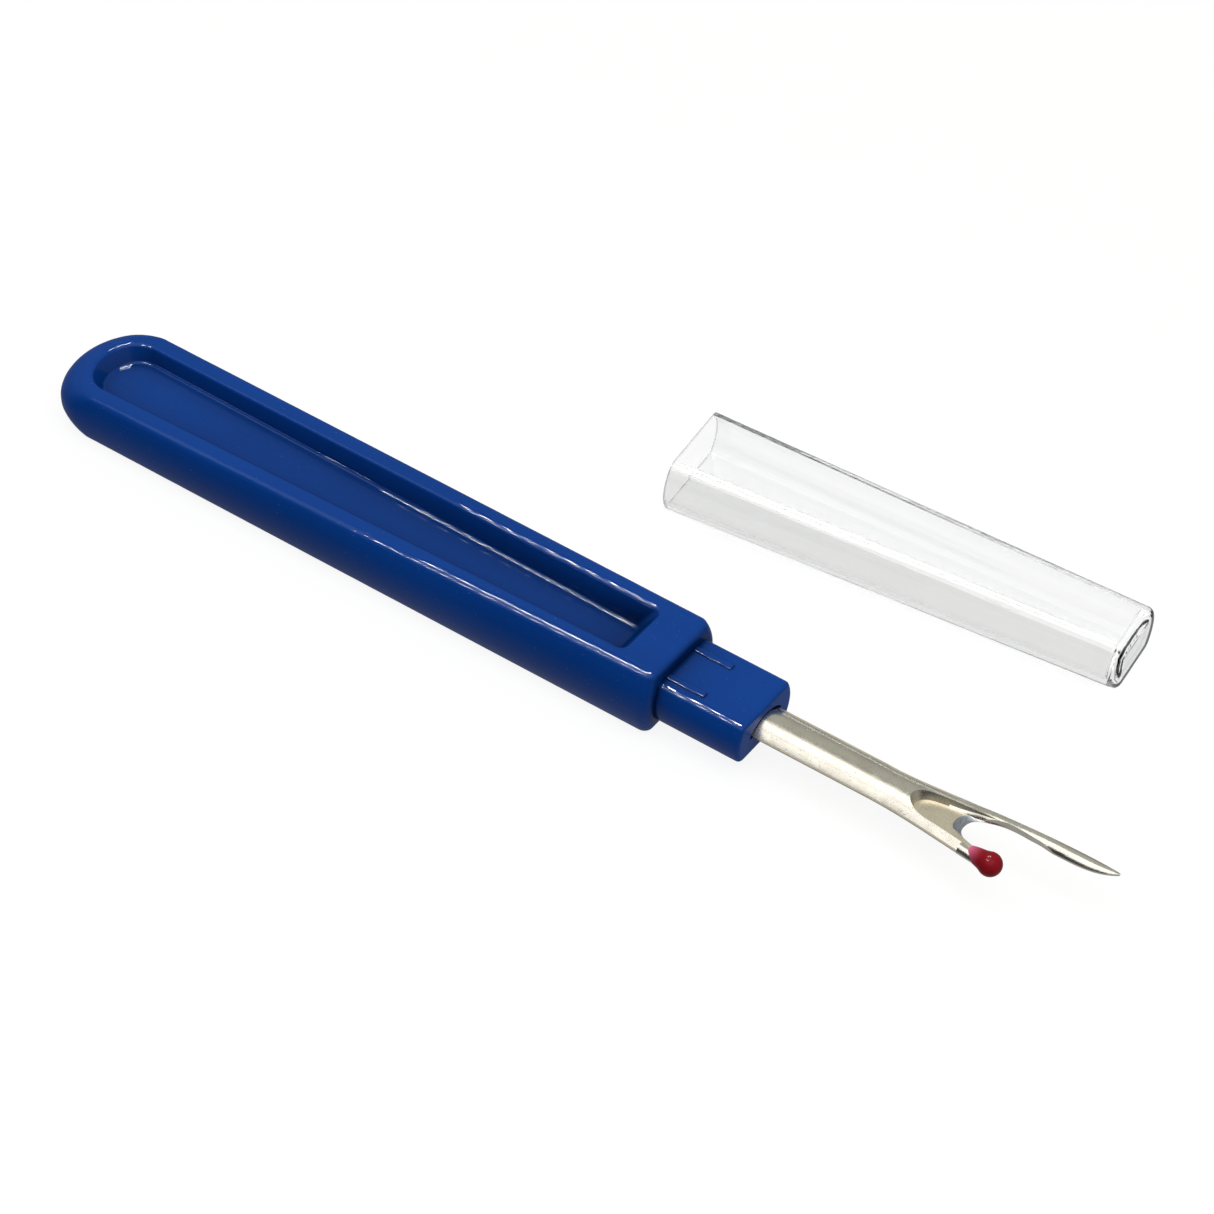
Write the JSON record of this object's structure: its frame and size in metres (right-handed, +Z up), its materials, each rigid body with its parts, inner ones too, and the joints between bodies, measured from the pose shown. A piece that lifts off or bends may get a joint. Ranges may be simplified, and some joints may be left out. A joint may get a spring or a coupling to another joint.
{
  "type": "seam ripper",
  "caption": "Large-handled seam ripper with a forked steel blade, a ball on the short prong, and a clear push-on cap lying beside it.",
  "frame": {"origin": "on the handle's underside, on the centre line, in the middle of the solid bridge just behind the shoulder; the tool and its cap lie on z = 0", "axes": "+X along the handle towards the blade's point, +Y towards the side the cap lies on, +Z up from the table"},
  "size_m": [0.1346, 0.0476, 0.0086],
  "materials": {
    "blue_plastic": "glossy moulded",
    "plated_steel": "bright nickel plating",
    "red_plastic": "glossy",
    "clear_plastic": "clear, polished"
  },
  "bodies": {
    "tool": {"handle": "blue_plastic", "blade": "plated_steel", "tip_ball": "red_plastic"},
    "cap": {"cap": "clear_plastic"}
  },
  "joints": [
    {"name": "cap_slide", "type": "slide", "parent": "tool", "child": "cap", "axis": [0.9952, 0.0976, 0], "range_m": [0, 0.07]}
  ]
}
